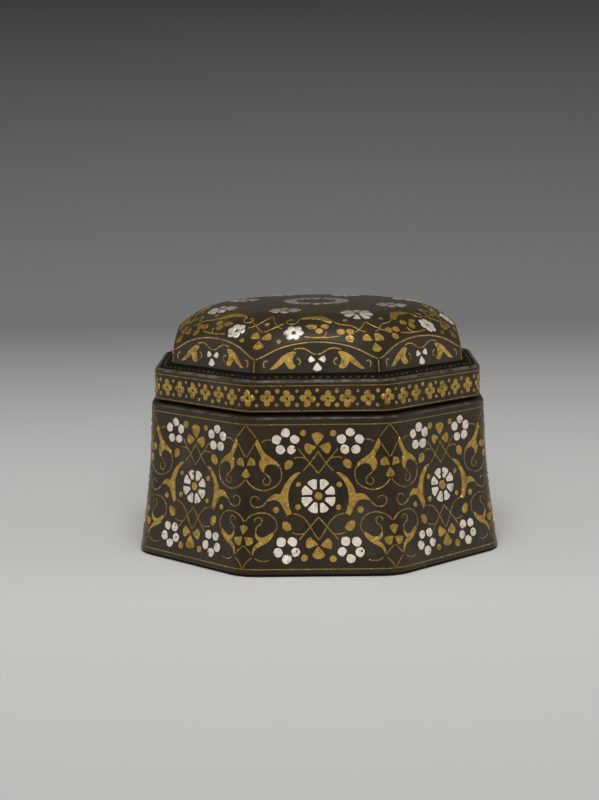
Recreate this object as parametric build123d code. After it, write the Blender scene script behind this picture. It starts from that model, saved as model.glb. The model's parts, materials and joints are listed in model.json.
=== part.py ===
from build123d import *
import math
import os

# Octagonal betel box of blackened zinc alloy, inlaid with brass and silver.
# Millimetres. The origin is the middle of the underside, +Z is up, and one face looks along -Y.

# ---- Driving sizes: the box ----
sides = 8
foot_width = 140.0          # across the flats at the foot
mouth_set_back = 5.7        # how far the mouth's faces stand behind the foot's
body_height = 58.4
side_hollow = 1.2           # how far a face curves inwards at mid height
body_corner_radius = 15.0
body_wall = 4.0
mouth_lip_depth = 9.0       # height of the thickened mouth
mouth_edge_round = 0.7
foot_edge_round = 1.2
base_thickness = 3.0
base_recess = 1.0           # how far the base plate stands above the ground
base_seat_width = 1.6       # ledge that the base plate is soldered to
collar_thickness = 1.6
collar_seat_depth = 4.0     # how deep the collar sits in the mouth
collar_stand = 4.5          # how far the collar stands up into the lid
solder_gap = 0.05
lid_gap = 0.4               # running gap between the collar and the lid

# ---- Driving sizes: the lid ----
rim_set_back = 1.55         # how far the lid's upright band stands behind the mouth
rim_height = 13.4
rim_corner_radius = 11.0
rim_top_round = 1.0
rim_foot_round = 0.6
lid_shadow_gap = 1.4        # height of the groove between the band's foot and the mouth
lid_foot_set_back = 1.4     # how deep that groove is
rim_wall = 2.6
rim_roof = 2.6              # metal left above the hollow of the band
ledge_height = 1.3          # rise of the sloped ledge
ledge_width = 6.5           # from the band's face to the foot of the dome's face
dome_foot_step = 0.5        # plinth between the ledge and the dome
dome_wall_slope = 8.3       # degrees from upright
dome_corner_radius = 8.0
dome_height = 21.1
crown_radius = 700.0        # radius of the nearly flat top
crown_share = 0.32          # of the dome's width, from the middle to where the crown turns down
shoulder_share = 0.253      # of the dome's width, radius of its shoulder
dome_thickness = 3.0

# ---- Driving sizes: the inlay ----
inlay_depth = 0.5
punch_reach = 3.0           # how deep an outline cuts through a bent skin
inlay_proud = 0.1           # what hammering leaves above the ground metal
wire_width = 0.45
border_wire = 0.36
wire_cut_gap = 0.06         # between the lengths of a long wire
foot_border_height = 2.9
top_border_height = 55.8
rim_line_low = 2.2          # height of the band's lower line above the mouth
rim_line_high = 11.5
rosette_petals = 8
crown_rosette_petals = 16
quatrefoils_per_face = 7
beads_per_face = 18
bead_height = 0.95           # of a ledge bead, up the slope
bead_width = 1.25
arch_wire = 0.45
arch_drop = 0.8             # how far the arches run below the crease
arch_foot = 5.2             # height of the arches' feet above the dome's foot
arch_post_width = 0.45
arch_scroll_wire = 0.42
panel_drawing_height = 52.9     # height that the body's pattern was drawn at
panel_drawing_width = 135.0     # width across the flats that it was drawn at
panel_middle = 26.6             # height of the rosettes in that drawing
dome_drawing_width = 112.5      # width across the dome's flats that its pattern was drawn at

# ---- Worked out from the sizes above ----
half_turn = 180.0 / sides
half_turn_tan = math.tan(math.radians(half_turn))
foot_apothem = foot_width / 2
mouth_apothem = foot_apothem - mouth_set_back
rim_apothem = mouth_apothem - rim_set_back
lid_inner_apothem = rim_apothem - rim_wall
lid_inner_corner = rim_corner_radius - rim_wall
collar_outer_apothem = lid_inner_apothem - lid_gap
collar_outer_corner = lid_inner_corner - lid_gap
collar_inner_apothem = collar_outer_apothem - collar_thickness
collar_foot = body_height - collar_seat_depth
collar_top = body_height + collar_stand
rim_top = body_height + rim_height
ledge_top = rim_top + ledge_height
dome_foot = ledge_top + dome_foot_step
dome_foot_apothem = rim_apothem - ledge_width
crown_reach = crown_share * 2 * dome_foot_apothem
shoulder_radius = shoulder_share * 2 * dome_foot_apothem
plinth_apothem = dome_foot_apothem + dome_foot_step
plinth_corner = dome_corner_radius + dome_foot_step
panel_height = top_border_height - foot_border_height
panel_scale_up = panel_height / panel_drawing_height
panel_scale_along = (foot_apothem + mouth_apothem) / panel_drawing_width
dome_scale = 2 * dome_foot_apothem / dome_drawing_width
petal_half_turn = 180.0 / rosette_petals


# ---- Outer shapes ----
def rounded_octagon(apothem, corner_radius, height):
    """Flat octagon with rounded corners, one side towards -Y, at a height."""
    flat = RegularPolygon(apothem, sides, major_radius=False, rotation=half_turn)
    return Pos(0, 0, height) * fillet(flat.vertices(), corner_radius)


def octagon_block(apothem, corner_radius, low, high, taper=0.0):
    """Upright block between two heights; a taper in degrees draws it in as it rises."""
    flat = rounded_octagon(apothem, corner_radius, low)
    return extrude(flat, amount=high - low, taper=taper)


def side_circle():
    """Radius and centre (out, up) of the arc that hollows the body's faces."""
    middle = (foot_apothem + mouth_apothem) / 2 - side_hollow
    a, b, c = (foot_apothem, 0.0), (middle, body_height / 2), (mouth_apothem, body_height)
    d = 2 * (a[0] * (b[1] - c[1]) + b[0] * (c[1] - a[1]) + c[0] * (a[1] - b[1]))
    aa, bb, cc = (p[0] ** 2 + p[1] ** 2 for p in (a, b, c))
    out = (aa * (b[1] - c[1]) + bb * (c[1] - a[1]) + cc * (a[1] - b[1])) / d
    up = (aa * (c[0] - b[0]) + bb * (a[0] - c[0]) + cc * (b[0] - a[0])) / d
    return math.dist((out, up), a), out, up


side_radius, side_out, side_up = side_circle()


def body_apothem(z):
    """Distance from the axis to the middle of a face at a height."""
    return side_out - math.sqrt(side_radius ** 2 - (z - side_up) ** 2)


def body_block(inset):
    """The body's outer shape with every face moved inwards."""
    foot, mouth = foot_apothem - inset, mouth_apothem - inset
    middle = (foot + mouth) / 2 - side_hollow
    block = None
    for turn in range(sides // 2):
        right = ThreePointArc((foot, 0), (middle, body_height / 2), (mouth, body_height))
        left = ThreePointArc((-mouth, body_height), (-middle, body_height / 2), (-foot, 0))
        top = Line((mouth, body_height), (-mouth, body_height))
        bottom = Line((-foot, 0), (foot, 0))
        outline = Plane.XZ * make_face([right, top, left, bottom])
        slab = Rot(0, 0, 2 * half_turn * turn) * extrude(outline, amount=foot_width, both=True)
        block = slab if block is None else block & slab
    upright = [e for e in block.edges() if e.bounding_box().size.Z > body_height * 0.9]
    return fillet(upright, body_corner_radius - inset)


def dome_circle():
    """Centre (out, up) of the shoulder's arc and the turn where the crown meets it."""
    turn = math.asin(crown_reach / crown_radius)
    crown_centre = dome_height - crown_radius
    out = crown_reach - shoulder_radius * math.sin(turn)
    up = crown_centre + (crown_radius - shoulder_radius) * math.cos(turn)
    return out, up, turn


shoulder_out, shoulder_up, shoulder_turn = dome_circle()


def dome_rise(r):
    """Height of the dome's round top above the dome's foot, and its slope in degrees."""
    if r < crown_reach:
        turn = math.asin(r / crown_radius)
        return dome_height - crown_radius * (1 - math.cos(turn)), math.degrees(turn)
    turn = math.asin((r - shoulder_out) / shoulder_radius)
    return shoulder_up + shoulder_radius * math.cos(turn), math.degrees(turn)


def dome_block(inset, low):
    """Round dome cut by eight flat leaning faces, down to a height."""
    crown, shoulder = crown_radius - inset, shoulder_radius - inset
    top = (0, dome_height - inset)
    bend = (crown_reach - inset * math.sin(shoulder_turn),
            shoulder_up + shoulder * math.cos(shoulder_turn))
    half = shoulder_turn / 2
    on_crown = (crown * math.sin(half), dome_height - crown_radius + crown * math.cos(half))
    side = (shoulder_out + shoulder, shoulder_up)
    turn = (shoulder_turn + math.pi / 2) / 2
    on_shoulder = (shoulder_out + shoulder * math.sin(turn), shoulder_up + shoulder * math.cos(turn))
    depth = low - dome_foot
    edges = [
        ThreePointArc(top, on_crown, bend),
        ThreePointArc(bend, on_shoulder, side),
        Line(side, (side[0], depth)),
        Line((side[0], depth), (0, depth)),
        Line((0, depth), top),
    ]
    round_dome = Pos(0, 0, dome_foot) * revolve(Plane.XZ * make_face(edges), Axis.Z)
    lean = math.tan(math.radians(dome_wall_slope))
    apothem = dome_foot_apothem - inset / math.cos(math.radians(dome_wall_slope)) - depth * lean
    faces = octagon_block(apothem, max(dome_corner_radius - inset, 1.0), low,
                          dome_foot + dome_height, dome_wall_slope)
    return round_dome & faces


# ---- Castings ----
def body_casting():
    """Flared eight-sided wall with a thickened mouth, open at the bottom for the base plate."""
    shell = body_block(0)
    rings = shell.faces().sort_by(Axis.Z)
    shell = fillet(rings[0].edges(), foot_edge_round)
    shell = fillet(shell.faces().sort_by(Axis.Z)[-1].edges(), mouth_edge_round)
    base_top = base_recess + base_thickness
    lip_foot = body_height - mouth_lip_depth
    band = Pos(0, 0, (base_top + lip_foot) / 2) * Box(2 * foot_width, 2 * foot_width, lip_foot - base_top)
    cavity = body_block(body_wall) & band
    seat = octagon_block(base_apothem(), body_corner_radius - body_wall, 0, base_top)
    mouth = octagon_block(collar_inner_apothem, collar_outer_corner - collar_thickness,
                          lip_foot, body_height)
    collar_seat = octagon_block(collar_outer_apothem + solder_gap, collar_outer_corner,
                                collar_foot, body_height)
    return shell - cavity - seat - mouth - collar_seat


def base_apothem():
    """Half the width of the rebate that takes the base plate."""
    return body_apothem(base_recess + base_thickness) - body_wall + base_seat_width


def base_plate():
    """Flat plate soldered up against the ledge inside the foot."""
    return octagon_block(base_apothem() - solder_gap, body_corner_radius - body_wall,
                         base_recess, base_recess + base_thickness)


def mouth_collar():
    """Thin upright band that keeps the lid in place."""
    outside = octagon_block(collar_outer_apothem, collar_outer_corner, collar_foot, collar_top)
    inside = octagon_block(collar_inner_apothem, collar_outer_corner - collar_thickness,
                           collar_foot, collar_top)
    return outside - inside


def lid_casting():
    """Upright band over a grooved foot, sloped ledge and dome, cast in one piece and hollow."""
    band_foot = body_height + lid_shadow_gap
    band = octagon_block(rim_apothem, rim_corner_radius, band_foot, rim_top)
    band = fillet(band.faces().sort_by(Axis.Z)[-1].edges(), rim_top_round)
    band = fillet(band.faces().sort_by(Axis.Z)[0].edges(), rim_foot_round)
    foot = octagon_block(rim_apothem - lid_foot_set_back, rim_corner_radius - lid_foot_set_back,
                         body_height, band_foot + rim_foot_round)
    ledge_foot = rounded_octagon(rim_apothem - rim_top_round, rim_corner_radius - rim_top_round, rim_top)
    ledge_edge = rounded_octagon(plinth_apothem, plinth_corner, ledge_top)
    ledge = loft([ledge_foot, ledge_edge], ruled=True)
    plinth = octagon_block(plinth_apothem, plinth_corner, ledge_top, dome_foot)
    solid = foot + band + ledge + plinth + dome_block(0, ledge_top)
    band_hollow = octagon_block(lid_inner_apothem, lid_inner_corner, body_height, rim_top - rim_roof)
    dome_hollow = dome_block(dome_thickness, rim_top - rim_roof)
    return solid - band_hollow - dome_hollow


# ---- Where the inlay lies: each function gives the plane that touches a surface ----
def wall_place(along, z, apothem, tilt, corner_radius):
    """Place on an eight-sided wall; along runs from the middle of a face, round the corner."""
    straight = (apothem - corner_radius) * half_turn_tan
    way = math.copysign(1, along)
    turn = way * max(abs(along) - straight, 0) / corner_radius
    out = (math.sin(turn), -math.cos(turn))
    spot = (way * min(abs(along), straight) + corner_radius * out[0],
            corner_radius - apothem + corner_radius * out[1], z)
    return Plane(origin=spot, x_dir=(math.cos(turn), math.sin(turn), 0), z_dir=(*out, tilt))


def corner_along(apothem, corner_radius):
    """Distance along a wall from the middle of a face to the corner."""
    return (apothem - corner_radius) * half_turn_tan + corner_radius * math.radians(half_turn)


def face_place(along, up):
    """Place on a face of the body, in the pattern's own millimetres above the foot line."""
    z = foot_border_height + up * panel_scale_up
    apothem = body_apothem(z)
    tilt = (side_up - z) / (side_out - apothem)
    return wall_place(along * panel_scale_along, z, apothem, tilt, body_corner_radius)


def corner_place(inwards, up):
    """Place on the body, measured from the right-hand corner back towards the face."""
    z = foot_border_height + up * panel_scale_up
    corner = corner_along(body_apothem(z), body_corner_radius)
    return face_place((corner - inwards) / panel_scale_along, up)


def corner_patch(across, up):
    """Place on the body about the right-hand corner, measured to the right."""
    return corner_place(-across, up)


def rim_place(along, up):
    """Place on the lid's upright band, measured up from the mouth."""
    return wall_place(along, body_height + up, rim_apothem, 0, rim_corner_radius)


def ledge_place(along, share):
    """Place on the sloped ledge, at a share of the way up it."""
    outer, inner = rim_apothem - rim_top_round, plinth_apothem
    apothem = outer + (inner - outer) * share
    corner = rim_corner_radius - rim_top_round
    corner += (plinth_corner - corner) * share
    return wall_place(along, rim_top + ledge_height * share, apothem,
                      (outer - inner) / ledge_height, corner)


def dome_wall_place(along, up):
    """Place on a flat leaning face of the dome."""
    lean = math.tan(math.radians(dome_wall_slope))
    apothem = dome_foot_apothem - up * lean
    return wall_place(along, dome_foot + up, apothem, lean, dome_corner_radius)


def dome_place(turn, r):
    """Place on the dome's round top: degrees from a face's middle, radius in its drawing."""
    r *= dome_scale
    rise, slope = dome_rise(r)
    turn, slope = math.radians(turn), math.radians(slope)
    out = (math.sin(turn), -math.cos(turn))
    return Plane(origin=(r * out[0], r * out[1], dome_foot + rise),
                 x_dir=(math.cos(turn), math.sin(turn), 0),
                 z_dir=(out[0] * math.sin(slope), out[1] * math.sin(slope), math.cos(slope)))


def dome_patch(turn, r):
    """Places in millimetres about a point of the dome's top: across, then up the slope."""
    middle = dome_place(turn, r)
    across_dir, level_share = middle.x_dir, middle.z_dir.Z

    def place(across, climb):
        out = r - climb * level_share
        seat = dome_place(turn + math.degrees(math.atan2(across, out)), math.hypot(across, out))
        x_dir = across_dir - seat.z_dir * across_dir.dot(seat.z_dir)
        return Plane(origin=seat.origin, x_dir=x_dir, z_dir=seat.z_dir)

    return place


# ---- Outlines of the inlaid pieces, drawn flat in millimetres ----
def disc(radius):
    """Round dot."""
    return Circle(radius).face()


def fan(length, width, corner):
    """Petal with its middle at the origin: pointed at its inner end, bowed at its far one."""
    near, far, half = -length / 2, length / 2, width / 2
    edge = far - 0.26 * length
    flat = make_face([
        ThreePointArc((near, 0), ((near + edge) / 2, 0.29 * width), (edge, half)),
        ThreePointArc((edge, half), (far, 0), (edge, -half)),
        ThreePointArc((edge, -half), ((near + edge) / 2, -0.29 * width), (near, 0)),
    ])
    return fillet([v for v in flat.vertices() if v.X > 0], corner).face()


def bud(length, width):
    """Middle at the origin: blunt at its inner end, swelling, then drawn out to a point."""
    near, far, half = -length / 2, length / 2, width / 2
    blunt, swell, neck = near + 0.12 * length, near + 0.4 * length, 0.36 * width
    base = ThreePointArc((blunt, -neck), (near, 0), (blunt, neck))
    upper = Spline((blunt, neck), (swell, half), (far, 0))
    lower = Spline((far, 0), (swell, -half), (blunt, -neck))
    return make_face([base, upper, lower]).face()


def wedge_petal(length, narrow, wide, corner):
    """Petal of a rosette, middle at the origin: widens along +X to a bowed end."""
    inner, outer, near, far = narrow / 2, wide / 2, -length / 2, length / 2
    edge = far - 0.18 * wide
    sides_and_ends = [
        Line((near, -inner), (edge, -outer)),
        ThreePointArc((edge, -outer), (far, 0), (edge, outer)),
        Line((edge, outer), (near, inner)),
        Line((near, inner), (near, -inner)),
    ]
    flat = make_face(sides_and_ends)
    outer_corners = [v for v in flat.vertices() if v.X > 0]
    return fillet(outer_corners, corner).face()


def lobed(count, reach, lobe_radius, eye_radius, first=90.0, long_lobes=0.0):
    """Flower in one piece: round lobes about the middle, with a hole for its eye."""
    flat = Circle(reach)
    for i in range(count):
        turn = math.radians(first + 360 * i / count)
        far = reach + (long_lobes if i % 2 == 0 else 0)
        flat += Pos(far * math.cos(turn), far * math.sin(turn)) * Circle(lobe_radius)
    return (flat - Circle(eye_radius)).face()


def ribbon(points, start, end):
    """Wire of changing width that follows a smooth line through points."""
    spine = Line(*points) if len(points) == 2 else Spline(*points)
    steps = 2 if len(points) == 2 else 3 * len(points)
    left, right = [], []
    for i in range(steps + 1):
        t = i / steps
        spot, way, half = spine @ t, spine % t, (start + (end - start) * t) / 2
        left.append((spot.X - way.Y * half, spot.Y + way.X * half))
        right.append((spot.X + way.Y * half, spot.Y - way.X * half))
    right.reverse()
    edges = [Spline(*left), Line(left[-1], right[0]), Spline(*right), Line(right[-1], left[0])]
    return make_face(edges).face()


def leaf(strands):
    """Outline made of smooth strands that meet at points, closed by the last one."""
    edges = [Line(*s) if len(s) == 2 else Spline(*s) for s in strands]
    return make_face(edges).face()


# ---- Setting an outline into the metal ----
def thick(flat):
    """Small plate as deep as the inlay, with its top just proud of the surface."""
    return Pos(0, 0, -inlay_depth) * extrude(flat, amount=inlay_depth + inlay_proud)


def lay(seat, flat, skin=None):
    """Outline set into a surface: as a flat plate, or cut from a curved casting's skin."""
    if skin is None:
        return seat.location * thick(flat)
    punch = Pos(0, 0, -punch_reach) * extrude(flat, amount=2 * punch_reach)
    return skin & (seat.location * punch)


def stamp(plate, place, along, up, turn=0.0):
    """One plate set at a point of a surface, turned about its own middle."""
    return place(along, up).location * Rot(0, 0, turn) * plate


def petals_about(petal, place, along, up, reach, turns):
    """Petals about a point, pointing outwards, each seated where its own middle lies."""
    pieces = []
    for turn in turns:
        across, rise = reach * math.cos(math.radians(turn)), reach * math.sin(math.radians(turn))
        pieces.append(stamp(petal, place, along + across, up + rise, turn))
    return pieces


def even_turns(count, first):
    """Directions spread evenly round a flower."""
    return [first + 360 * i / count for i in range(count)]


def flatten(place, runs):
    """Plane that touches the surface amid some points, and the points flattened on it."""
    every = [point for run in runs for point in run]
    along = (min(p[0] for p in every) + max(p[0] for p in every)) / 2
    up = (min(p[1] for p in every) + max(p[1] for p in every)) / 2
    seat = place(along, up)
    flat_runs = []
    for run in runs:
        offsets = [place(*point).origin - seat.origin for point in run]
        flat_runs.append([(o.dot(seat.x_dir), o.dot(seat.y_dir)) for o in offsets])
    return seat, flat_runs


def wire(place, points, start=wire_width, end=None, skin=None):
    """Inlaid wire through points on a surface."""
    seat, (run,) = flatten(place, [points])
    return lay(seat, ribbon(run, start, start if end is None else end), skin)


def long_wire(place, points, lengths, start, end):
    """Wire hammered in as several short flat lengths, each close to a curved surface."""
    path = Spline(*points)
    gap = wire_cut_gap / path.length / 2
    pieces = []
    for i in range(lengths):
        first = i / lengths + (gap if i > 0 else 0)
        last = (i + 1) / lengths - (gap if i < lengths - 1 else 0)
        spots = [path @ (first + (last - first) * step / 3) for step in range(4)]
        widths = [start + (end - start) * t for t in (first, last)]
        pieces.append(wire(place, [(spot.X, spot.Y) for spot in spots], *widths))
    return pieces


def wire_figure(place, wires, skin=None):
    """Wires that meet or cross, laid as one piece: each has its points and its end widths."""
    seat, runs = flatten(place, [points for points, _, _ in wires])
    flat = None
    for run, (_, start, end) in zip(runs, wires):
        strand = ribbon(run, start, end)
        flat = strand if flat is None else flat + strand
    return lay(seat, flat.face(), skin)


def leaf_plate(place, strands, skin=None):
    """Inlaid leaf whose outline is given as strands of points on a surface."""
    seat, runs = flatten(place, strands)
    return lay(seat, leaf(runs), skin)


def body_skin():
    """Skin of the body's front face and of the corners beside it."""
    skin = body_block(-inlay_proud) - body_block(inlay_depth)
    front = Pos(0, -foot_width / 2, body_height / 2) * Box(0.6 * foot_width, 0.3 * foot_width, body_height)
    return skin & front


def dome_skin():
    """Skin of the dome, from its foot to the crown."""
    return dome_block(-inlay_proud, ledge_top) - dome_block(inlay_depth, ledge_top - 1)


def both_hands(pieces):
    """The pieces and their mirror images about the middle of the face."""
    return pieces + [mirror(piece, about=Plane.YZ) for piece in pieces]


def round_the_box(pieces):
    """Copies of a face's pieces on every face."""
    return [Rot(0, 0, 2 * half_turn * i) * piece for i in range(sides) for piece in pieces]


def alternate_faces(pieces):
    """Copies on every face, each face the mirror image of its neighbours."""
    hands = [pieces, [mirror(piece, about=Plane.YZ) for piece in pieces]]
    return [Rot(0, 0, 2 * half_turn * i) * piece for i in range(sides) for piece in hands[i % 2]]


def alternate_corners(pieces):
    """Copies of pieces that lie across a corner, on every second corner."""
    return [Rot(0, 0, 4 * half_turn * i) * piece for i in range(sides // 2) for piece in pieces]


# ---- Pattern on the body ----
def body_border_lines():
    """Square wires round the body above the foot and below the mouth."""
    skin = body_block(-inlay_proud) - body_block(inlay_depth)
    slab = Box(2 * foot_width, 2 * foot_width, border_wire)
    return [skin & (Pos(0, 0, z) * slab) for z in (foot_border_height, top_border_height)]


def body_rosettes():
    """Eight petals and an eye in the middle of each face, with the dots about them."""
    petal = thick(wedge_petal(3.75, 1.1, 3.7, 0.35))
    turns = even_turns(rosette_petals, petal_half_turn)
    petals = petals_about(petal, face_place, 0, panel_middle, 4.57, turns)
    eye = [stamp(thick(disc(1.55)), face_place, 0, panel_middle)]
    return round_the_box(petals), round_the_box(eye)


def body_dots():
    """Round dots between the larger figures."""
    spots = [(7.5, panel_middle + 4.1, 0.95), (7.5, panel_middle - 4.1, 0.95),
             (15.6, 21.5, 1.15), (5.6, 49.6, 1.2), (5.3, 3.9, 1.25)]
    dots = [stamp(thick(disc(r)), face_place, along, up) for along, up, r in spots]
    return round_the_box(both_hands(dots))


def body_blossoms():
    """Five-petalled flowers near the corners of each face."""
    petal = thick(Ellipse(1.75, 1.85).face())
    petals = []
    for up, first in ((46.4, 90.0), (7.2, -90.0)):
        petals += petals_about(petal, face_place, 11.8, up, 3.45, even_turns(5, first))
    return round_the_box(both_hands(petals))


def body_trefoils():
    """Three-petalled figures above and below the rosette."""
    large, small = thick(fan(4.9, 4.9, 0.7)), thick(fan(4.3, 4.2, 0.6))
    pieces = []
    for up, way in ((44.6, 90.0), (8.9, -90.0)):
        pieces += petals_about(large, face_place, 0, up, 2.95, [way])
        pieces += petals_about(small, face_place, 0, up, 2.65, [way - 98, way + 98])
    return round_the_box(pieces)


def body_buds():
    """Pointed buds at the ends of the side shoots."""
    plate = thick(bud(4.2, 3.0))
    pieces = [stamp(plate, face_place, 10.8, 38.2, -58), stamp(plate, face_place, 11.9, 15.8, 56)]
    return round_the_box(both_hands(pieces))


def leaf_arms():
    """Curved leaves on both sides of the rosette, each with a side leaf."""
    strands = [
        [(5.9, 35.5), (8.6, 34.9), (11.4, 32.3), (13.3, 29.0), (14.1, 27.3)],
        [(14.1, 27.3), (16.3, 27.4), (18.2, 26.1), (19.2, 24.6)],
        [(19.2, 24.6), (17.4, 25.2), (15.6, 25.2), (14.2, 24.4)],
        [(14.2, 24.4), (12.9, 22.0), (11.6, 19.4)],
        [(11.6, 19.4), (9.9, 20.3)],
        [(9.9, 20.3), (11.0, 24.0), (11.0, 27.8), (9.9, 31.2), (8.3, 33.4), (5.9, 35.5)],
    ]
    return round_the_box(both_hands([leaf_plate(face_place, strands)]))


def arm_curls():
    """Tapering curls that run on from the side leaves."""
    points = [(19.3, 24.45), (21.2, 22.9), (23.3, 22.6), (24.9, 23.9), (24.7, 26.0),
              (23.0, 26.6), (21.9, 25.4)]
    return round_the_box(both_hands(long_wire(face_place, points, 3, 0.6, 0.35)))


def face_lattices():
    """Crossing wires above and below the rosette, each group with its shoots."""
    upper = [[(0.0, 34.9), (7.3, 44.0)],
             [(0.0, 43.1), (2.95, 38.7), (5.65, 35.8)],
             [(4.4, 40.3), (6.7, 40.9), (8.9, 40.5)]]
    lower = [[(0.0, 18.9), (7.3, 10.6)],
             [(0.0, 10.6), (3.1, 15.4), (5.5, 18.6), (9.5, 20.15)],
             [(5.3, 12.9), (7.6, 12.7), (9.9, 13.3)]]
    pieces = []
    for right in (upper, lower):
        left = [[(-x, y) for x, y in points] for points in right]
        pieces.append(wire_figure(face_place, [(points, wire_width, wire_width) for points in right + left]))
    return round_the_box(pieces)


def corner_leaves():
    """Two-lobed leaves on both sides of each corner, above and below."""
    upper = [
        [(4.3, 47.8), (5.6, 45.2), (7.6, 42.0), (10.3, 40.2), (12.5, 38.0)],
        [(12.5, 38.0), (12.0, 37.2)],
        [(12.0, 37.2), (9.9, 38.4), (8.1, 38.3), (7.1, 37.1), (7.0, 35.3)],
        [(7.0, 35.3), (5.5, 36.7), (5.1, 39.2), (5.9, 40.6)],
        [(5.9, 40.6), (4.8, 42.9), (3.6, 46.0), (4.3, 47.8)],
    ]
    lower = [
        [(3.9, 5.0), (5.0, 7.6), (7.8, 9.1), (10.4, 11.3), (11.2, 12.7)],
        [(11.2, 12.7), (10.7, 13.6)],
        [(10.7, 13.6), (8.6, 12.2), (6.6, 11.6), (5.0, 12.6), (4.5, 14.0)],
        [(4.5, 14.0), (4.2, 12.4), (4.9, 11.0), (6.0, 10.2)],
        [(6.0, 10.2), (4.2, 8.6), (3.5, 6.6), (3.9, 5.0)],
    ]
    pieces = [leaf_plate(corner_place, strands) for strands in (upper, lower)]
    return round_the_box(both_hands(pieces))


def corner_curls():
    """Curls that run on from the lobes of the corner leaves."""
    upper = [(7.1, 35.1), (8.4, 34.0), (9.3, 32.5), (8.6, 31.0), (7.1, 31.0), (6.6, 32.4), (7.5, 33.2)]
    lower = [(4.5, 14.15), (5.0, 15.6), (6.4, 17.0), (6.1, 18.6), (4.6, 18.8), (4.0, 17.4)]
    pieces = [wire(corner_place, points, 0.5, 0.35) for points in (upper, lower)]
    return round_the_box(both_hands(pieces))


def corner_hearts(skin):
    """Long curved wires that meet on each corner, hung from the leaves."""
    upper = [(12.4, 37.5), (13.3, 34.6), (12.6, 31.6), (9.8, 29.5), (6.4, 28.8), (3.0, 29.9), (0.32, 32.6)]
    lower = [(11.15, 13.3), (12.2, 15.6), (11.4, 18.0), (9.3, 19.9), (6.2, 20.6), (2.7, 19.7), (0.32, 17.3)]
    pieces = [wire(corner_place, points, skin=skin) for points in (upper, lower)]
    return round_the_box(both_hands(pieces))


def corner_lattices():
    """Small four-sided figures on each corner, under the top line and over the foot line."""
    upper = [[(0.25, 52.5), (3.8, 48.15)], [(3.4, 45.8), (1.8, 43.3), (0.25, 40.8)]]
    lower = [[(0.25, 8.5), (3.5, 5.2)], [(3.4, 4.2), (1.5, 2.4), (0.25, 0.4)]]
    pieces = [wire(corner_place, points) for points in upper + lower]
    return round_the_box(both_hands(pieces))


def corner_stems():
    """Short stems from the corner leaves to the flowers."""
    upper = [(5.9, 46.4), (7.6, 47.3), (9.4, 47.3)]
    lower = [(4.6, 4.2), (7.0, 3.0), (9.9, 3.4)]
    pieces = [wire(corner_place, points, wire_width, 0.3) for points in (upper, lower)]
    return round_the_box(both_hands(pieces))


def corner_trefoils():
    """Three-petalled figures on each corner: one petal upright, two to the sides."""
    petal = thick(fan(3.7, 3.5, 0.5))
    pieces = []
    for up, way in ((37.3, -90), (11.9, 90)):
        pieces += petals_about(petal, corner_patch, 0, up, 2.3, [way, way - 128, way + 128])
    return round_the_box(pieces)


# ---- Pattern on the lid's band and ledge ----
def rim_border_lines():
    """Square wires round the band, near both of its edges."""
    outer, inner = rim_apothem + inlay_proud, rim_apothem - inlay_depth
    rings = []
    for up in (rim_line_low, rim_line_high):
        low = body_height + up - border_wire / 2
        outside = octagon_block(outer, rim_corner_radius + inlay_proud, low, low + border_wire)
        inside = octagon_block(inner, rim_corner_radius - inlay_depth, low, low + border_wire)
        rings.append(outside - inside)
    return rings


rim_pitch = 2 * corner_along(rim_apothem, rim_corner_radius) / quatrefoils_per_face
rim_middle = (rim_line_low + rim_line_high) / 2


def rim_quatrefoils():
    """Four-lobed flowers all round the band, one of them on each corner."""
    outside = octagon_block(rim_apothem + inlay_proud, rim_corner_radius + inlay_proud, body_height, rim_top)
    inside = octagon_block(rim_apothem - inlay_depth, rim_corner_radius - inlay_depth, body_height, rim_top)
    skin = outside - inside
    flower = lobed(4, 1.6, 1.2, 0.5, 90.0, 0.3)
    half = quatrefoils_per_face // 2
    spots = [rim_pitch * (i + 0.5) for i in range(-half, half + 1)]
    return round_the_box([lay(rim_place(along, rim_middle), flower, skin) for along in spots])


def rim_dots():
    """Two dots in each gap between the quatrefoils."""
    plate = thick(disc(0.7))
    pieces = []
    for i in range(quatrefoils_per_face):
        along = rim_pitch * (i - quatrefoils_per_face // 2)
        pieces += [stamp(plate, rim_place, along, rim_middle + up) for up in (-2.6, 2.7)]
    return round_the_box(pieces)


def ledge_beads():
    """Row of small brass beads on the ledge."""
    apothem = (rim_apothem - rim_top_round + plinth_apothem) / 2
    corner = (rim_corner_radius - rim_top_round + plinth_corner) / 2
    pitch = 2 * corner_along(apothem, corner) / beads_per_face
    plate = thick(Ellipse(bead_width / 2, bead_height / 2).face())
    pieces = [stamp(plate, ledge_place, pitch * (i + 0.5), 0.5)
              for i in range(-beads_per_face // 2, beads_per_face // 2)]
    return round_the_box(pieces)


# ---- Pattern on the dome's flat faces ----
def crease_height(along):
    """Height above the dome's foot where a leaning wall meets the round top."""
    up = 0.0
    for _ in range(30):
        spot = dome_wall_place(along, up).origin
        up = dome_rise(math.hypot(spot.X, spot.Y))[0]
    return up


def dome_arches(skin):
    """Wire along the crease of each flat face, and a short upright one on each corner."""
    apothem = dome_foot_apothem - arch_foot * math.tan(math.radians(dome_wall_slope))
    corner = corner_along(apothem, dome_corner_radius)
    reach = corner - arch_wire / 2
    spots = [reach * (i / 6 - 1) for i in range(13)]
    arch = wire(dome_wall_place, [(x, crease_height(x) - arch_drop) for x in spots], arch_wire, skin=skin)
    upright = thick(ribbon([(0, 0.15), (0, arch_foot - 0.6)], arch_post_width, arch_post_width))
    return round_the_box([arch, dome_wall_place(corner, 0).location * upright])


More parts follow.
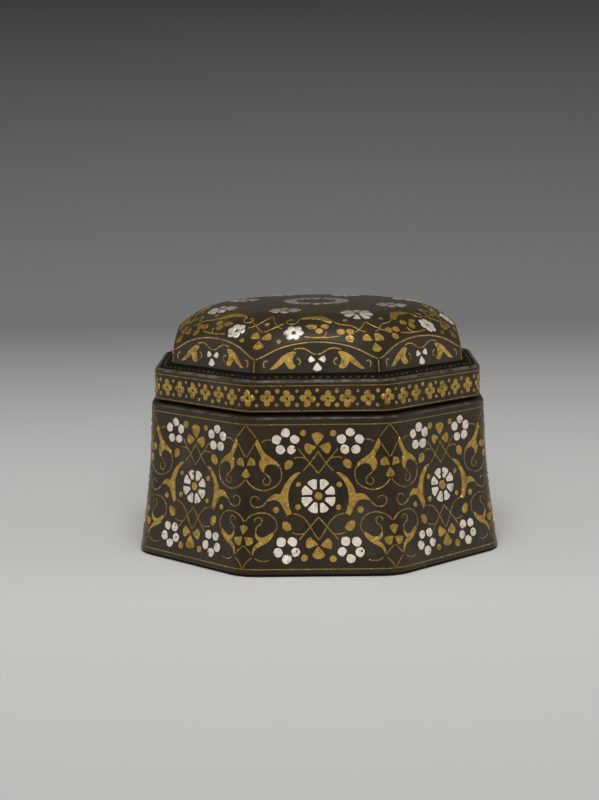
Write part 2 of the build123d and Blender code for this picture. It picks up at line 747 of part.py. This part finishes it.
def arch_leaves():
    """Split leaves in both halves of each arch."""
    strands = [
        [(17.5, 1.5), (14.4, 4.6), (11.2, 7.2), (8.9, 8.0)],
        [(8.9, 8.0), (7.8, 7.3), (8.6, 6.2), (9.0, 4.9), (8.7, 3.6), (7.9, 2.6)],
        [(7.9, 2.6), (8.5, 1.8), (9.9, 1.6), (11.1, 2.6), (11.9, 4.3)],
        [(11.9, 4.3), (13.6, 2.9), (15.7, 1.6), (17.5, 1.5)],
    ]
    return round_the_box(both_hands([leaf_plate(dome_wall_place, strands)]))


def arch_wires():
    """Double arch over the silver trefoil, and small curls beside the leaves."""
    double = [(8.6, 8.55), (6.9, 9.0), (4.9, 8.9), (2.5, 7.6), (0.3, 6.8)]
    inner_curl = [(7.4, 5.3), (6.4, 4.8), (6.2, 3.9), (7.0, 3.1)]
    corner_curl = [(18.2, 4.2), (19.1, 4.4), (19.7, 3.4), (19.3, 2.1)]
    pieces = [wire(dome_wall_place, double, arch_scroll_wire),
              wire(dome_wall_place, inner_curl, 0.5, 0.35),
              wire(dome_wall_place, corner_curl, 0.35, 0.45)]
    return round_the_box(both_hands(pieces))


def arch_trefoils():
    """Silver trefoils in the middle of the arches."""
    upper, drop = thick(fan(2.5, 2.5, 0.35)), thick(fan(3.3, 3.4, 0.35))
    pieces = petals_about(upper, dome_wall_place, 0, 4.6, 1.85, [12, 168])
    pieces += petals_about(drop, dome_wall_place, 0, 4.6, 2.25, [-90])
    return round_the_box(pieces)


# ---- Pattern on the dome's round top: degrees from the middle of a face, then radius ----
corner_turn = half_turn
plain_corner, crown_corner = -corner_turn, corner_turn


def shoulder_blossoms(skin):
    """Six-lobed silver flowers on both sides of every second corner, bent to the dome."""
    flower = lobed(6, 2.45, 1.4, 0.75, 60.0)
    return alternate_faces([lay(dome_place(plain_corner + 13.0, 51.8), flower, skin)])


def shoulder_trefoils():
    """Trefoils over the corners, and buds in threes above the arches."""
    petal = thick(fan(4.1, 4.2, 0.55))
    on_corners = []
    for corner, r in ((plain_corner, 54.8), (crown_corner, 55.5)):
        on_corners += petals_about(petal, dome_patch(corner, r), 0, 0, 2.4, [35, 145, -90])
    long_bud, short_bud = thick(bud(4.2, 2.5)), thick(bud(3.2, 3.0))
    above_arch, beside = dome_patch(1.0, 49.3), dome_patch(crown_corner - 10.6, 52.8)
    on_faces = petals_about(long_bud, above_arch, 0, 0, 2.8, [170])
    on_faces += petals_about(short_bud, above_arch, 0, 0, 2.25, [8, -96])
    on_faces += petals_about(short_bud, beside, 0, 0, 2.25, [140, 35, -70])
    return alternate_corners(on_corners) + alternate_faces(on_faces)


def shoulder_arms(skin):
    """Swelling leaf above each arch."""
    strands = [
        [(-8.4, 44.0), (-4.5, 41.9), (0.0, 41.3), (3.6, 41.7)],
        [(3.6, 41.7), (6.0, 44.1), (7.9, 45.9)],
        [(7.9, 45.9), (6.6, 47.2)],
        [(6.6, 47.2), (4.0, 46.3), (1.2, 44.6), (-3.4, 44.0), (-8.4, 44.0)],
    ]
    return alternate_faces([leaf_plate(dome_place, strands, skin)])


def shoulder_wires(skin):
    """Stems, curls and crossing wires between the shoulder's figures."""
    a, b = plain_corner, crown_corner
    curl = [(-8.7, 44.3), (-9.2, 46.6), (-11.0, 47.7), (-12.9, 47.5), (-13.9, 46.1), (-13.0, 45.0),
            (-11.0, 45.1)]
    low = [(-4.8, 53.4), (0.0, 53.7), (4.0, 53.7), (9.0, 53.3)]
    shoot = [(3.9, 51.6), (3.5, 52.8), (2.0, 53.6)]
    pieces = [
        wire(dome_place, curl, 0.55, 0.4, skin),
        crossing([(a + 0.3, 52.0), (a + 4.8, 49.3), (a + 7.6, 47.4)],
                 [(a + 0.3, 42.6), (a + 2.1, 45.4), (a + 5.0, 48.8), (a + 8.0, 50.3)], skin),
        crossing([(8.2, 46.6), (12.2, 48.4), (15.4, 49.1), (b - 4.7, 51.0), (b - 2.3, 52.0)],
                 [(b - 0.3, 47.1), (b - 2.3, 49.3), (b - 4.7, 51.0), (b - 6.9, 52.1)], skin),
        wire_figure(dome_place, [(low, 0.6, 0.6), (shoot, wire_width, wire_width)], skin),
    ]
    return alternate_faces(pieces)


def crossing(first, second, skin):
    """Two wires of the dome that cross, in one piece."""
    return wire_figure(dome_place, [(points, wire_width, wire_width) for points in (first, second)], skin)


def shoulder_dots():
    """Dots beside the corners and above the arches."""
    plate = thick(disc(1.0))
    across = [stamp(plate, dome_place, plain_corner, 48.0)]
    beside = [stamp(plate, dome_place, plain_corner + 7.6, 55.3),
              stamp(plate, dome_place, crown_corner - 9.4, 45.4)]
    return alternate_corners(across) + alternate_faces(beside)


def crown_flowers():
    """Eight-petalled silver flowers on the crown, one towards each corner, nearer and farther."""
    petal = thick(wedge_petal(4.6, 0.7, 3.1, 0.35))
    pieces = []
    for corner, r in ((plain_corner, 31.5), (crown_corner, 39.5)):
        turns = even_turns(rosette_petals, petal_half_turn)
        pieces += petals_about(petal, dome_patch(corner, r), 0, 0, 3.8, turns)
    return alternate_corners(pieces)


def crown_rosette():
    """Large silver rosette in the middle of the crown."""
    petal = thick(wedge_petal(5.0, 2.3, 4.3, 0.6))
    turns = even_turns(crown_rosette_petals, 0.0)
    return [stamp(petal, dome_place, turn, 10.5, -90) for turn in turns]


# ---- Every node, by name ----
def solids_by_name():
    """Each sub-part of the box with its solids."""
    petals, eyes = body_rosettes()
    wall_skin, top_skin = body_skin(), dome_skin()
    return {
        "body_casting": [body_casting()],
        "base_plate": [base_plate()],
        "mouth_collar": [mouth_collar()],
        "body_border_lines": body_border_lines(),
        "body_rosette_petals": petals,
        "body_rosette_eyes": eyes,
        "body_dots": body_dots(),
        "body_blossom_petals": body_blossoms(),
        "body_trefoils": body_trefoils(),
        "body_buds": body_buds(),
        "leaf_arms": leaf_arms(),
        "leaf_arm_curls": arm_curls(),
        "face_lattice_wires": face_lattices(),
        "corner_leaves": corner_leaves(),
        "corner_curls": corner_curls(),
        "corner_heart_wires": corner_hearts(wall_skin),
        "corner_lattice_wires": corner_lattices(),
        "corner_stems": corner_stems(),
        "corner_trefoils": corner_trefoils(),
        "lid_casting": [lid_casting()],
        "rim_border_lines": rim_border_lines(),
        "rim_quatrefoils": rim_quatrefoils(),
        "rim_dots": rim_dots(),
        "ledge_beads": ledge_beads(),
        "dome_arch_wires": dome_arches(top_skin),
        "arch_leaves": arch_leaves(),
        "arch_scroll_wires": arch_wires(),
        "arch_trefoils": arch_trefoils(),
        "shoulder_blossoms": shoulder_blossoms(top_skin),
        "shoulder_trefoils": shoulder_trefoils(),
        "shoulder_leaf_arms": shoulder_arms(top_skin),
        "shoulder_wires": shoulder_wires(top_skin),
        "shoulder_dots": shoulder_dots(),
        "crown_flower_petals": crown_flowers(),
        "crown_rosette_petals": crown_rosette(),
    }


os.makedirs("parts", exist_ok=True)
for name, solids in solids_by_name().items():
    shape = solids[0] if len(solids) == 1 else Compound(solids)
    export_step(shape, f"parts/{name}.step")
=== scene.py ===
import json
import math
import random

import bmesh
import bpy
from mathutils import Matrix, Vector, noise


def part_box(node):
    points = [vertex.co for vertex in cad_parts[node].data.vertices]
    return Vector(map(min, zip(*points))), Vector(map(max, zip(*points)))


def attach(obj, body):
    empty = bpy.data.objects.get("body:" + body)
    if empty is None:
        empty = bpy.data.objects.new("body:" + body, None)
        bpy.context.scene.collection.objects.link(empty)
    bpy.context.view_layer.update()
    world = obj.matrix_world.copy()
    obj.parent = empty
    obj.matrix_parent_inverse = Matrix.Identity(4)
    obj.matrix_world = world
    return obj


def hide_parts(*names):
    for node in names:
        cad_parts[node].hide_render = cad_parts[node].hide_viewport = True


# An octagonal betel box of blackened zinc alloy, inlaid with brass and silver. Metres, +Z up.

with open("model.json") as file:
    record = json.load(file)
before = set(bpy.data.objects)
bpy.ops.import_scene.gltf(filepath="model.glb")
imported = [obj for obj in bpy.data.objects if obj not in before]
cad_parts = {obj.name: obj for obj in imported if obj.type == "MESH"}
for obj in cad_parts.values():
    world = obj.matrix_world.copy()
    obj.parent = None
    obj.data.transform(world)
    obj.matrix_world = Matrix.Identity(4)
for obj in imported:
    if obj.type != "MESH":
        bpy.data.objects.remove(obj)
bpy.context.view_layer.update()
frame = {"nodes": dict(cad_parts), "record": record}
scene = bpy.context.scene
mm = 0.001
random.seed(8)
noise.seed_set(8)

# ---- Heights that the finish follows, taken from the frame ----
mouth_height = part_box("lid_casting")[0][2]
band_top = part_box("rim_border_lines")[1][2] + 1.7 * mm
dome_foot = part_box("dome_arch_wires")[0][2]
lid_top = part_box("crown_rosette_petals")[1][2]
edge_height = 0.7 * mm
gap_height = 1.6 * mm
foot_edge = 1.1 * mm
crown_depth = 2.0 * mm
upright_limit = 0.9     # share of straight up beyond which a plate counts as level
upward_share = 0.5      # how far upwards the shown side of a plate may look
shown_limit = 0.5       # how closely a face has to look that way to be the shown one
wave_length = 1.6 * mm  # from one waver of a cut edge to the next
weld_distance = 1e-6

# ---- Camera: lens and sensor in mm, angles in degrees ----
camera_lens = 81.0
camera_sensor = 36.0
camera_spot = (0.35 * mm, -711.4 * mm, 164.7 * mm)
camera_down = 8.77
camera_turn = 0.61
camera_roll = -0.68


def set_camera():
    """Long lens, a little above the box and square to its front face."""
    lens = bpy.data.cameras.new("studio_camera")
    lens.lens = camera_lens
    lens.sensor_width = camera_sensor
    camera = bpy.data.objects.new("studio_camera", lens)
    scene.collection.objects.link(camera)
    turn = Matrix.Rotation(math.radians(camera_turn), 4, "Z")
    tilt = Matrix.Rotation(math.radians(90 - camera_down), 4, "X")
    roll = Matrix.Rotation(math.radians(camera_roll), 4, "Z")
    camera.matrix_world = Matrix.Translation(camera_spot) @ turn @ tilt @ roll
    scene.camera = camera


# ---- Small helpers for node trees ----
def linear(hex_colour):
    """A #rrggbb colour as linear red, green, blue and alpha."""
    parts = [int(hex_colour[i:i + 2], 16) / 255 for i in (1, 3, 5)]
    return (*[c / 12.92 if c <= 0.04045 else ((c + 0.055) / 1.055) ** 2.4 for c in parts], 1.0)


def add_node(tree, kind, settings=None, inputs=None):
    """A node with its settings, and its sockets set to constants or linked to other sockets."""
    node = tree.nodes.new(kind)
    for name, value in (settings or {}).items():
        setattr(node, name, value)
    for name, value in (inputs or {}).items():
        if isinstance(value, bpy.types.NodeSocket):
            tree.links.new(value, node.inputs[name])
        else:
            node.inputs[name].default_value = value
    return node


def mix_colours(tree, share, first, second):
    """Colour between two, by a share from 0 to 1."""
    node = add_node(tree, "ShaderNodeMix", {"data_type": "RGBA"})
    tree.links.new(share, node.inputs[0])
    for socket, colour in ((node.inputs[6], first), (node.inputs[7], second)):
        if isinstance(colour, bpy.types.NodeSocket):
            tree.links.new(colour, socket)
        else:
            socket.default_value = linear(colour)
    return node.outputs[2]


def new_material(name):
    """Empty node material: itself, its tree, its principled shader and its place coordinates."""
    material = bpy.data.materials.new(name)
    material.use_nodes = True
    tree = material.node_tree
    shader = tree.nodes["Principled BSDF"]
    place = add_node(tree, "ShaderNodeTexCoord").outputs["Object"]
    return material, tree, shader, place


def span(tree, value, low, high, start=0.0, end=1.0, smooth=False):
    """A value between two levels, spread over start to end and held there outside them."""
    settings = {"interpolation_type": "SMOOTHSTEP" if smooth else "LINEAR"}
    levels = {"Value": value, "From Min": low, "From Max": high, "To Min": start, "To Max": end}
    return add_node(tree, "ShaderNodeMapRange", settings, levels).outputs["Result"]


def calculate(tree, operation, first, second):
    """Result of one sum on two sockets or numbers."""
    node = add_node(tree, "ShaderNodeMath", {"operation": operation})
    for socket, value in zip(node.inputs, (first, second)):
        if isinstance(value, bpy.types.NodeSocket):
            tree.links.new(value, socket)
        else:
            socket.default_value = value
    return node.outputs[0]


def times(tree, first, second):
    """Product of two sockets or numbers."""
    return calculate(tree, "MULTIPLY", first, second)


def speckle(tree, place, grain_mm, detail, low, high):
    """Noise of a given grain, pulled apart between two levels to a share from 0 to 1."""
    grain = add_node(tree, "ShaderNodeTexNoise", None,
                     {"Vector": place, "Scale": 1 / (grain_mm * mm), "Detail": detail})
    return span(tree, grain.outputs["Fac"], low, high)


def height_band(tree, place, low, high, soft):
    """Share that is 1 between two heights and fades out over a soft edge."""
    height = add_node(tree, "ShaderNodeSeparateXYZ", None, {"Vector": place}).outputs["Z"]
    rise = span(tree, height, low - soft, low + soft, smooth=True)
    fall = span(tree, height, high - soft, high + soft, start=1.0, end=0.0, smooth=True)
    return times(tree, rise, fall)


def add_bump(tree, shader, height, strength, depth_mm):
    """Small relief under a shader's surface."""
    bump = add_node(tree, "ShaderNodeBump", None,
                    {"Height": height, "Strength": strength, "Distance": depth_mm * mm})
    tree.links.new(bump.outputs["Normal"], shader.inputs["Normal"])


# ---- Materials ----
def blackened_alloy_material():
    """Zinc alloy blackened with earth and oil: brown-black, greyer where hands rub it, with painted
    highlight along rubbed edges and painted shade at the foot, under the band and round the dome.
    """
    material, tree, shader, place = new_material("blackened_zinc_alloy")
    cloud = speckle(tree, place, grain_mm=16.0, detail=4.0, low=0.35, high=0.65)
    colour = mix_colours(tree, cloud, "#1f180d", "#2a2012")
    handled = speckle(tree, place, grain_mm=24.0, detail=5.0, low=0.55, high=0.72)
    colour = mix_colours(tree, times(tree, handled, 0.4), colour, "#4a4135")
    grit = speckle(tree, place, grain_mm=0.45, detail=3.0, low=0.5, high=0.78)
    colour = mix_colours(tree, times(tree, grit, 0.5), colour, "#42382a")
    # The mouth and the top of the band are lighter: rubbed wear where the hand meets them, and painted
    # highlight along their rounded edges.
    scuffs_and_highlight = speckle(tree, place, grain_mm=3.5, detail=5.0, low=0.4, high=0.66)
    for top, strength in ((mouth_height, 0.4), (band_top + 0.1 * mm, 0.7)):
        edge = times(tree, height_band(tree, place, top - edge_height, top, soft=0.2 * mm), scuffs_and_highlight)
        colour = mix_colours(tree, times(tree, edge, strength), colour, "#6f675b")
    # Painted shade: the foot edge is darkened for its contact shadow, the gap under the lid's band for its
    # shadow, and the ledge round the dome for its shade and for old polish and dirt.
    shade_and_dirt = height_band(tree, place, -foot_edge, foot_edge, soft=0.3 * mm)
    for low, high in ((mouth_height, mouth_height + gap_height), (band_top + 0.2 * mm, dome_foot)):
        shaded_hollow = height_band(tree, place, low, high, soft=0.12 * mm)
        shade_and_dirt = calculate(tree, "MAXIMUM", shade_and_dirt, shaded_hollow)
    colour = mix_colours(tree, times(tree, shade_and_dirt, 0.92), colour, "#0f0a06")
    tree.links.new(colour, shader.inputs["Base Color"])
    clean_roughness = span(tree, cloud, 0.0, 1.0, start=0.3, end=0.4)
    roughness = calculate(tree, "MAXIMUM", clean_roughness, times(tree, shade_and_dirt, 0.8))
    tree.links.new(roughness, shader.inputs["Roughness"])
    tree.links.new(span(tree, shade_and_dirt, 0.0, 1.0, start=0.2, end=0.05), shader.inputs["Specular IOR Level"])
    # A thin film of dust shows where a face turns away from the eye.
    tree.links.new(span(tree, shade_and_dirt, 0.0, 1.0, start=0.13, end=0.02), shader.inputs["Sheen Weight"])
    shader.inputs["Sheen Roughness"].default_value = 0.5
    shader.inputs["Sheen Tint"].default_value = linear("#c9bfa8")
    add_bump(tree, shader, grit, strength=0.25, depth_mm=0.02)
    return material


def brass_inlay_material(name, low, high):
    """Yellow brass hammered into grooves: brown where tarnish stays, paler where it is rubbed."""
    material, tree, shader, place = new_material(name)
    piece = add_node(tree, "ShaderNodeNewGeometry").outputs["Random Per Island"]
    colour = mix_colours(tree, piece, low, high)
    tarnish = speckle(tree, place, grain_mm=2.6, detail=4.0, low=0.45, high=0.68)
    colour = mix_colours(tree, times(tree, tarnish, 0.75), colour, "#6c4c1e")
    rubbed = speckle(tree, place, grain_mm=0.9, detail=3.0, low=0.58, high=0.78)
    colour = mix_colours(tree, rubbed, colour, "#dcc48c")
    pits = speckle(tree, place, grain_mm=1.3, detail=6.0, low=0.66, high=0.7)
    colour = mix_colours(tree, pits, colour, "#4a3720")
    tree.links.new(colour, shader.inputs["Base Color"])
    shader.inputs["Metallic"].default_value = 0.6
    tree.links.new(span(tree, tarnish, 0.0, 1.0, start=0.33, end=0.55), shader.inputs["Roughness"])
    add_bump(tree, shader, tarnish, strength=0.3, depth_mm=0.05)
    return material


def shaded_bead_brass_material():
    """Brass beads down in the groove, darkened as painted shade of the groove and brown with old polish."""
    material, tree, shader, place = new_material("shaded_dirty_brass_beads")
    shade_and_dirt = speckle(tree, place, grain_mm=1.8, detail=3.0, low=0.4, high=0.6)
    tree.links.new(mix_colours(tree, shade_and_dirt, "#604a23", "#33260f"), shader.inputs["Base Color"])
    shader.inputs["Metallic"].default_value = 0.4
    shader.inputs["Roughness"].default_value = 0.6
    add_bump(tree, shader, shade_and_dirt, strength=0.3, depth_mm=0.04)
    return material


def silver_inlay_material():
    """Silver sheet, cut and hammered in: pale and soft, with grey left in its scratches."""
    material, tree, shader, place = new_material("soft_silver_inlay")
    piece = add_node(tree, "ShaderNodeNewGeometry").outputs["Random Per Island"]
    colour = mix_colours(tree, piece, "#d8cabb", "#e6d9ca")
    stain = speckle(tree, place, grain_mm=1.7, detail=4.0, low=0.52, high=0.74)
    colour = mix_colours(tree, times(tree, stain, 0.8), colour, "#8d8277")
    pits = speckle(tree, place, grain_mm=1.5, detail=6.0, low=0.64, high=0.68)
    colour = mix_colours(tree, pits, colour, "#3d332a")
    # Painted dark reflection: the silver greys towards the top of the crown, standing in for the dark that
    # it reflects there.
    height = add_node(tree, "ShaderNodeSeparateXYZ", None, {"Vector": place}).outputs["Z"]
    painted_crown_shade = span(tree, height, lid_top - crown_depth, lid_top, end=0.7, smooth=True)
    colour = mix_colours(tree, painted_crown_shade, colour, "#7d746b")
    tree.links.new(colour, shader.inputs["Base Color"])
    shader.inputs["Metallic"].default_value = 0.5
    tree.links.new(span(tree, stain, 0.0, 1.0, start=0.4, end=0.55), shader.inputs["Roughness"])
    add_bump(tree, shader, stain, strength=0.3, depth_mm=0.04)
    return material


def collar_material():
    """Plain brass strip, dulled by handling."""
    material, tree, shader, place = new_material("dull_brass_strip")
    dull = speckle(tree, place, grain_mm=6.0, detail=3.0, low=0.4, high=0.7)
    tree.links.new(mix_colours(tree, dull, "#8f7646", "#6d5a38"), shader.inputs["Base Color"])
    shader.inputs["Metallic"].default_value = 0.8
    shader.inputs["Roughness"].default_value = 0.45
    return material


# ---- Inlay set by hand: every cut piece a little off true ----
def solid_islands(mesh):
    """Vertices of each separate plate in a mesh, always in the same order."""
    found, islands = set(), []
    for start in mesh.verts:
        if start in found:
            continue
        found.add(start)
        island, edge = [], [start]
        while edge:
            vert = edge.pop()
            island.append(vert)
            for near in [e.other_vert(vert) for e in vert.link_edges]:
                if near not in found:
                    found.add(near)
                    edge.append(near)
        islands.append(island)
    return islands


def outward(island):
    """Middle of a plate and the direction that its shown face looks."""
    middle = sum((v.co for v in island), Vector()) / len(island)
    away = Vector((middle.x, middle.y, 0.0)).normalized() + Vector((0, 0, upward_share))
    faces = dict.fromkeys(f for v in island for f in v.link_faces)
    normal = Vector()
    for face in faces:
        if face.normal.dot(away) > shown_limit:
            normal += face.normal * face.calc_area()
    return middle, normal.normalized()


def hand_set(name, body, slot, material, turn=0.0, shift=0.0, size=1.0, swell=0.0, tip=0.0, wobble=0.0):
    """Copy of an inlay node whose plates are turned, moved, resized, tipped and made wavy."""
    node = frame["nodes"][name]
    mesh = bmesh.new()
    mesh.from_mesh(node.data)
    bmesh.ops.remove_doubles(mesh, verts=mesh.verts, dist=weld_distance)
    mesh.normal_update()
    for island in solid_islands(mesh):
        middle, normal = outward(island)
        guide = Vector((0, 0, 1)) if abs(normal.z) < upright_limit else Vector((0, 1, 0))
        side = normal.cross(guide).normalized()
        rise = normal.cross(side)
        lean_axis = (side * random.uniform(-1, 1) + rise * random.uniform(-1, 1)).normalized()
        spin = Matrix.Rotation(math.radians(random.uniform(-turn, turn)), 3, normal)
        lean = Matrix.Rotation(math.radians(random.uniform(-tip, tip)), 3, lean_axis)
        grown = size + random.uniform(-swell, swell)
        move = (side * random.uniform(-shift, shift) + rise * random.uniform(-shift, shift)) * mm
        for vert in island:
            offset = vert.co - middle
            flat = offset - normal * offset.dot(normal)
            placed = middle + move + lean @ spin @ (flat * grown + normal * offset.dot(normal))
            wave = noise.noise_vector(vert.co / wave_length) * wobble * mm
            vert.co = placed + wave - normal * wave.dot(normal)
            vert.co.z = min(vert.co.z, lid_top)
    data = bpy.data.meshes.new(name + "_set")
    mesh.to_mesh(data)
    mesh.free()
    piece = bpy.data.objects.new(name + "_set", data)
    scene.collection.objects.link(piece)
    piece.data.materials.append(material)
    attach(piece, body)
    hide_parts(name)


# Turn in degrees, shift in mm, size and swell as shares, tip in degrees, wobble in mm.
petals = {"turn": 7.0, "shift": 0.18, "swell": 0.06, "tip": 2.0, "wobble": 0.16}
dots = {"turn": 20.0, "shift": 0.25, "swell": 0.12, "tip": 2.0, "wobble": 0.12}
wires = {"wobble": 0.1}
manner = {
    "body_rosette_petals": {**petals, "turn": 3.0, "shift": 0.1},
    "body_rosette_eyes": dots,
    "body_dots": dots,
    "body_blossom_petals": {**petals, "turn": 20.0, "shift": 0.12, "size": 0.93, "wobble": 0.25},
    "body_trefoils": petals,
    "body_buds": petals,
    "corner_trefoils": petals,
    "rim_quatrefoils": {**petals, "wobble": 0.2},
    "rim_dots": {**dots, "swell": 0.2},
    "ledge_beads": {"shift": 0.1, "swell": 0.15, "wobble": 0.1},
    "arch_trefoils": petals,
    "shoulder_blossoms": {"wobble": 0.22},
    "shoulder_trefoils": petals,
    "shoulder_dots": dots,
    "crown_flower_petals": {**petals, "shift": 0.1, "turn": 3.0, "tip": 0.0},
    "crown_rosette_petals": {**petals, "shift": 0.1, "turn": 2.0, "tip": 0.0},
    "leaf_arms": {"wobble": 0.15},
    "corner_leaves": {"wobble": 0.15},
    "arch_leaves": {"wobble": 0.15},
    "shoulder_leaf_arms": {"wobble": 0.15},
    "leaf_arm_curls": wires,
    "face_lattice_wires": wires,
    "corner_curls": wires,
    "corner_heart_wires": wires,
    "corner_lattice_wires": wires,
    "corner_stems": wires,
    "arch_scroll_wires": wires,
    "shoulder_wires": wires,
}
# Thin wires keep more tarnish than the broad leaves.
thin_wires = ("body_border_lines", "rim_border_lines", "face_lattice_wires", "corner_heart_wires",
              "corner_curls", "corner_lattice_wires", "corner_stems", "leaf_arm_curls")


def dress_nodes():
    """Each node gets the finish of its slot; the inlay nodes also get the hand's small faults."""
    made = {
        "blackened_alloy": blackened_alloy_material(),
        "brass_inlay": brass_inlay_material("worn_brass_inlay", "#9c7d32", "#b3923f"),
        "silver_inlay": silver_inlay_material(),
        "collar_brass": collar_material(),
    }
    bodies = {node: body for body, nodes in frame["record"]["behaviour"]["bodies"].items() for node in nodes}
    special = {"ledge_beads": shaded_bead_brass_material()}
    wire_brass = brass_inlay_material("tarnished_brass_wire", "#7d6328", "#8f7333")
    special.update({name: wire_brass for name in thin_wires})
    for row in frame["record"]["subparts"]:
        name, slot = row["node"], row["material_slot"]
        material = special.get(name, made[slot])
        node = frame["nodes"][name]
        node.data.materials.clear()
        node.data.materials.append(material)
        if name in manner:
            hand_set(name, bodies[name], slot, material, **manner[name])


# ---- Studio: the sweep's half width, front edge, bend, bend radius and straight rise, in metres ----
sweep_side = 2.2
sweep_front = -1.4
sweep_bend = 0.75
sweep_radius = 0.5
sweep_rise = 1.4


def studio_floor():
    """Plain pale sweep: level under the box, then rising far behind it."""
    mesh = bpy.data.meshes.new("studio_sweep")
    sweep = bmesh.new()
    edge = sweep.edges.new([sweep.verts.new((x, sweep_front, 0)) for x in (-sweep_side, sweep_side)])
    pulled = bmesh.ops.extrude_edge_only(sweep, edges=[edge])["geom"]
    moved = [v for v in pulled if isinstance(v, bmesh.types.BMVert)]
    bmesh.ops.translate(sweep, verts=moved, vec=(0, sweep_bend - sweep_front, 0))
    back = [e for e in sweep.edges if all(v.co.y > 0 for v in e.verts)]
    bmesh.ops.spin(sweep, geom=back, cent=(0, sweep_bend, sweep_radius), axis=(1, 0, 0),
                   angle=math.radians(90), steps=24, dvec=(0, 0, 0))
    top = [e for e in sweep.edges if all(v.co.z > sweep_radius - mm for v in e.verts)]
    pulled = bmesh.ops.extrude_edge_only(sweep, edges=top)["geom"]
    moved = [v for v in pulled if isinstance(v, bmesh.types.BMVert)]
    bmesh.ops.translate(sweep, verts=moved, vec=(0, 0, sweep_rise))
    bmesh.ops.remove_doubles(sweep, verts=sweep.verts, dist=1e-5)
    bmesh.ops.recalc_face_normals(sweep, faces=sweep.faces)
    sweep.to_mesh(mesh)
    sweep.free()
    floor = bpy.data.objects.new("studio_sweep", mesh)
    floor.data.shade_smooth()
    scene.collection.objects.link(floor)
    return floor


def sweep_material():
    """Matt paper with painted light falloff: pale under the box, darker towards the camera, and fading to a
    darker grey far behind it and up the rise.
    """
    material, tree, shader, place = new_material("grey_paper")
    parts = add_node(tree, "ShaderNodeSeparateXYZ", None, {"Vector": place})
    # Painted light falloff: the paper darkens far behind the box, towards the camera and up the rise.
    back = span(tree, parts.outputs["Y"], low=0.05, high=1.15, smooth=True)
    near = span(tree, parts.outputs["Y"], low=-0.3, high=-0.1)
    level = mix_colours(tree, near, "#b6b6b4", "#c6c6c4")
    colour = mix_colours(tree, back, level, "#8f8f92")
    painted_rise_falloff = span(tree, parts.outputs["Z"], low=0.02, high=0.35)
    tree.links.new(mix_colours(tree, painted_rise_falloff, colour, "#303134"), shader.inputs["Base Color"])
    shader.inputs["Roughness"].default_value = 0.95
    shader.inputs["Specular IOR Level"].default_value = 0.1
    return material


def set_world(strength):
    """Even grey light from all round."""
    world = bpy.data.worlds.new("studio_air")
    world.use_nodes = True
    backdrop = world.node_tree.nodes["Background"]
    backdrop.inputs["Color"].default_value = linear("#d8d5d0")
    backdrop.inputs["Strength"].default_value = strength
    scene.world = world


def add_softbox(name, spot, aim, width, height, power):
    """Rectangular soft lamp at a point, turned towards another."""
    lamp = bpy.data.lights.new(name, "AREA")
    lamp.shape = "RECTANGLE"
    lamp.size = width
    lamp.size_y = height
    lamp.energy = power
    softbox = bpy.data.objects.new(name, lamp)
    softbox.location = spot
    softbox.rotation_euler = (Vector(aim) - Vector(spot)).to_track_quat("-Z", "Y").to_euler()
    scene.collection.objects.link(softbox)


dress_nodes()
studio_floor().data.materials.append(sweep_material())
set_world(strength=0.33)
add_softbox("top_softbox", (0.0, -0.25, 1.1), aim=(0, 0, 0.05), width=0.6, height=0.6, power=5.5)
for name, x in (("left_softbox", -1.1), ("right_softbox", 1.1)):
    add_softbox(name, (x, -0.1, 0.4), aim=(0, 0, 0.04), width=0.8, height=0.9, power=1.9)
add_softbox("front_softbox", (0.0, -1.45, 0.95), aim=(0, 0, 0.05), width=1.0, height=0.7, power=16.0)
set_camera()
scene.view_settings.view_transform = "Standard"
